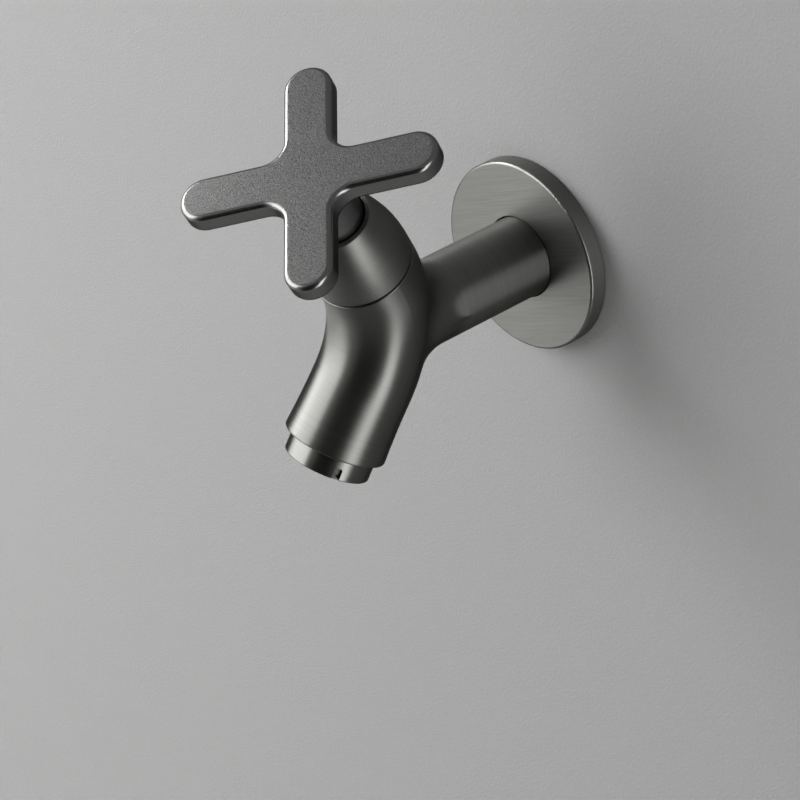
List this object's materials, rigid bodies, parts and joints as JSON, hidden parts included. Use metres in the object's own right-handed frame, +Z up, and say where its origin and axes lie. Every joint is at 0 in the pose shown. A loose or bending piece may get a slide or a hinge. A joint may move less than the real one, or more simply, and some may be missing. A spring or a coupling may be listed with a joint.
{
  "type": "wall-mounted tap",
  "caption": "Wall tap with a slanting cross handle, a domed bonnet cover, a bent spout with an aerator, a round sliding wall flange and a threaded inlet.",
  "frame": {"origin": "where the inlet pipe's axis meets the wall plane, which is the shoulder that the inlet thread starts from", "axes": "+Y along the inlet pipe into the wall, +Z up, +X to the right for someone who faces the wall"},
  "size_m": [0.053, 0.1184, 0.1096],
  "materials": {
    "satin_gunmetal": "satin gunmetal PVD over brass",
    "brushed_gunmetal": "fine-brushed gunmetal PVD over brass",
    "bare_brass": "turned",
    "stainless_steel": "turned",
    "black_rubber": "moulded",
    "grey_foam": "closed-cell foam, cut",
    "fibre": "pressed fibre",
    "white_ceramic": "lapped alumina",
    "acetal": "moulded"
  },
  "bodies": {
    "tap": {"body": "brushed_gunmetal", "bonnet_cover": "brushed_gunmetal", "headwork_housing": "bare_brass", "headwork_gasket": "fibre", "seat_seal": "black_rubber", "fixed_ceramic_disc": "white_ceramic", "aerator_shell": "brushed_gunmetal", "aerator_washer": "black_rubber", "aerator_grid": "acetal", "aerator_insert": "acetal"},
    "handle": {"cross_handle": "satin_gunmetal", "spline_insert": "acetal", "handle_grub_screw": "stainless_steel", "spindle": "bare_brass", "spindle_o_rings": "black_rubber", "spindle_thrust_washer": "acetal", "spindle_circlip": "stainless_steel", "turning_ceramic_disc": "white_ceramic"},
    "flange": {"wall_flange": "satin_gunmetal", "flange_o_ring": "black_rubber", "flange_wall_gasket": "grey_foam"}
  },
  "joints": [
    {"name": "handle_turn", "type": "hinge", "parent": "tap", "child": "handle", "pos_m": [0, -0.0804, 0.05354], "axis": [0, -0.5, 0.866], "range_deg": [-90, 0]},
    {"name": "flange_slide", "type": "slide", "parent": "tap", "child": "flange", "axis": [0, -1, 0], "range_m": [0, 0.025]}
  ]
}
